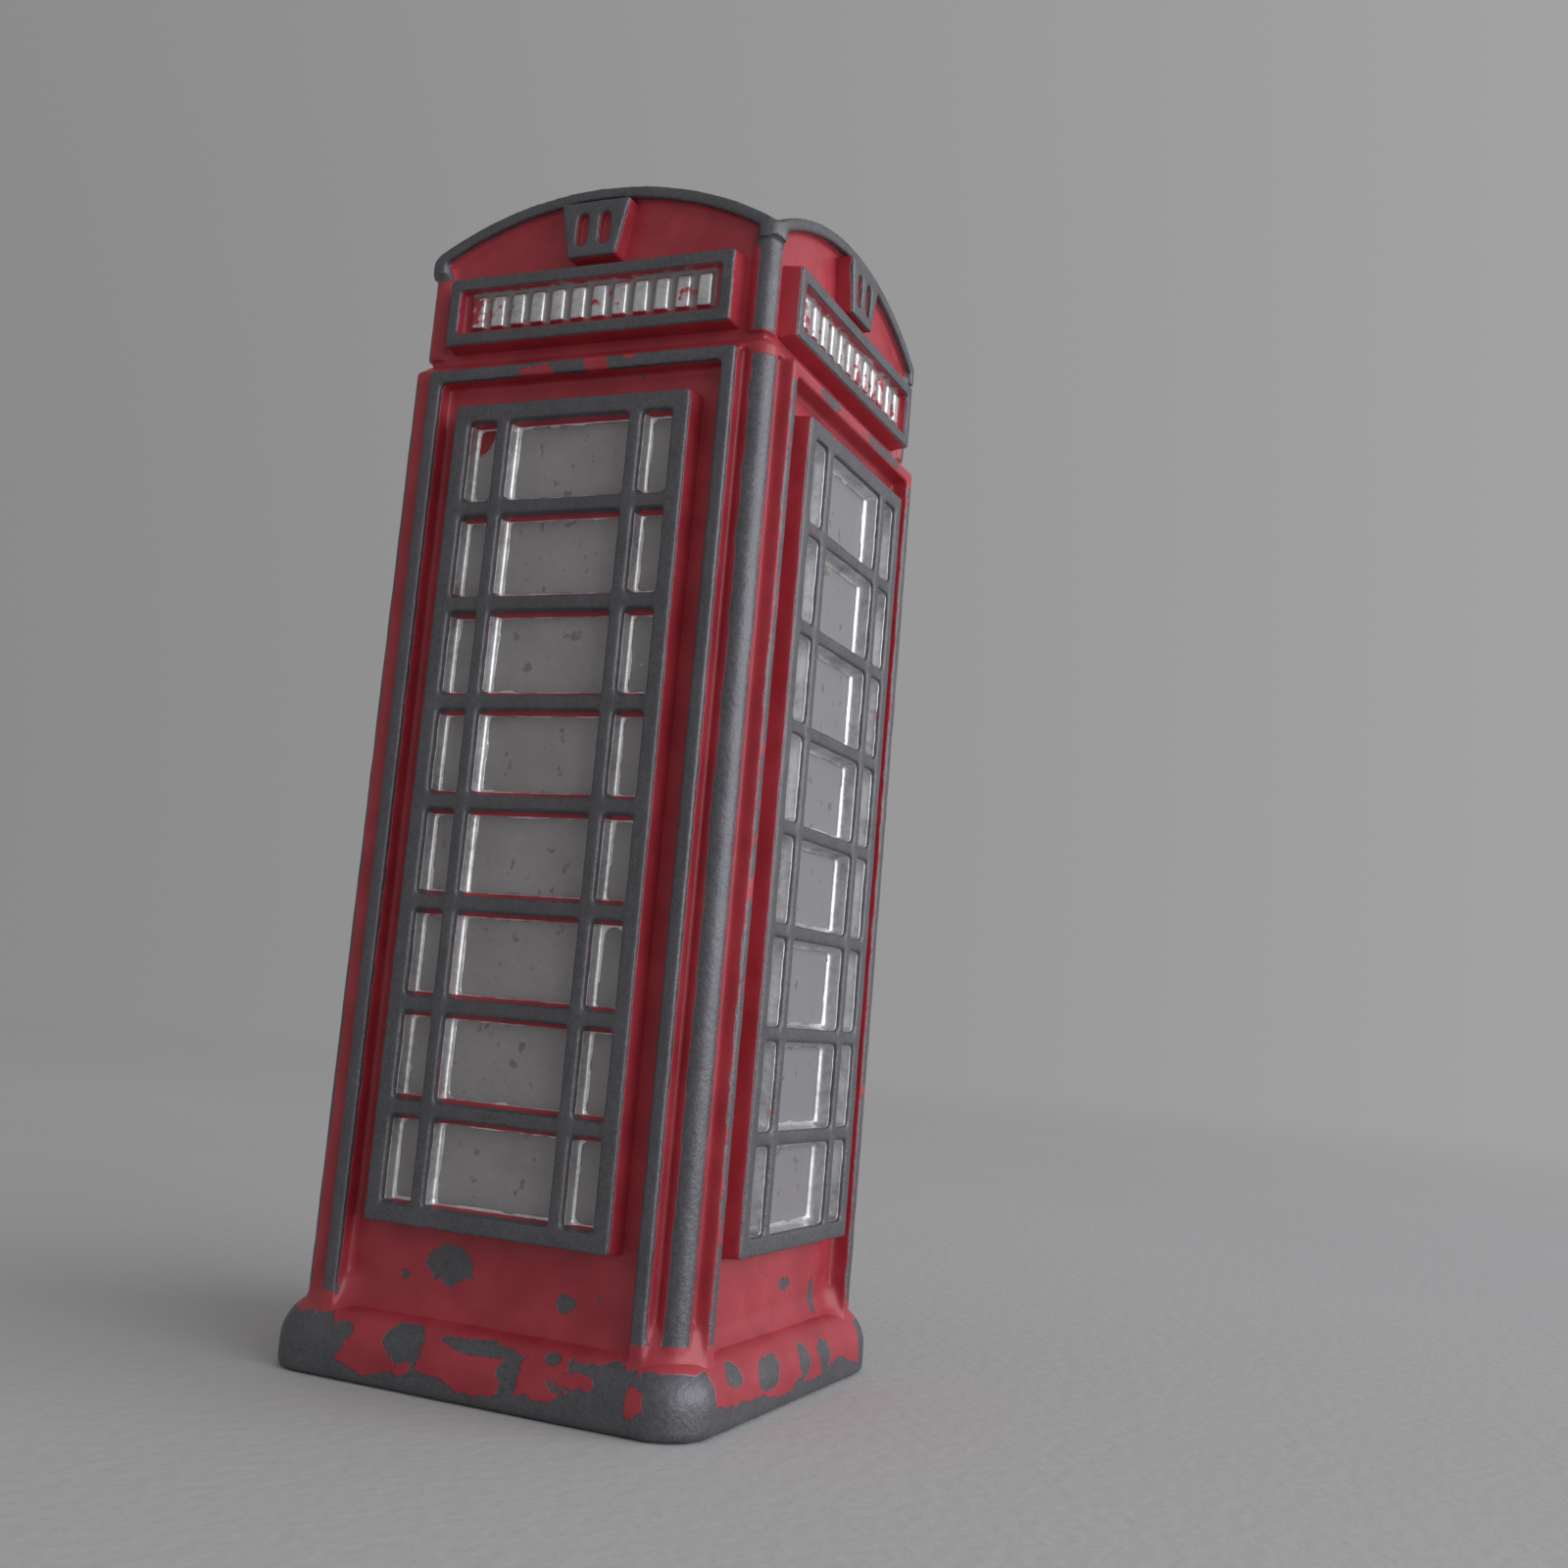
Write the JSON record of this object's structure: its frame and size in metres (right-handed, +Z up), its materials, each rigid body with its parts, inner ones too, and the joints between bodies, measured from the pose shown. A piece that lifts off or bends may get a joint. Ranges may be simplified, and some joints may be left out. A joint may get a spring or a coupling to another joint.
{
  "type": "miniature telephone booth",
  "caption": "Die-cast miniature booth: square body on a rounded plinth, barred windows, sign boxes and curved pediments under a low dome.",
  "frame": {"origin": "centre of the plinth's underside, on the surface it stands on", "axes": "+Z up; the front face toward -Y and the right face toward +X"},
  "size_m": [0.0234, 0.0234, 0.061],
  "materials": {
    "red_enamel_on_zinc": "gloss red enamel over zinc casting, worn to bare grey metal on every proud edge",
    "silver_paint": "matt silver paint on the sunk panes",
    "plate_steel": "dull pressed steel",
    "rivet_steel": "plain round rivet heads"
  },
  "bodies": {
    "root": {"plinth": "red_enamel_on_zinc", "body": "red_enamel_on_zinc", "roof": "red_enamel_on_zinc", "back_panel": "red_enamel_on_zinc", "window_front": "red_enamel_on_zinc", "window_right": "red_enamel_on_zinc", "window_left": "red_enamel_on_zinc", "sign_front": "red_enamel_on_zinc", "sign_right": "red_enamel_on_zinc", "sign_back": "red_enamel_on_zinc", "sign_left": "red_enamel_on_zinc", "badge_front": "red_enamel_on_zinc", "badge_right": "red_enamel_on_zinc", "badge_back": "red_enamel_on_zinc", "badge_left": "red_enamel_on_zinc", "panes_front": "silver_paint", "panes_right": "silver_paint", "panes_left": "silver_paint", "base_plate": "plate_steel", "base_rivets": "rivet_steel"}
  },
  "joints": []
}
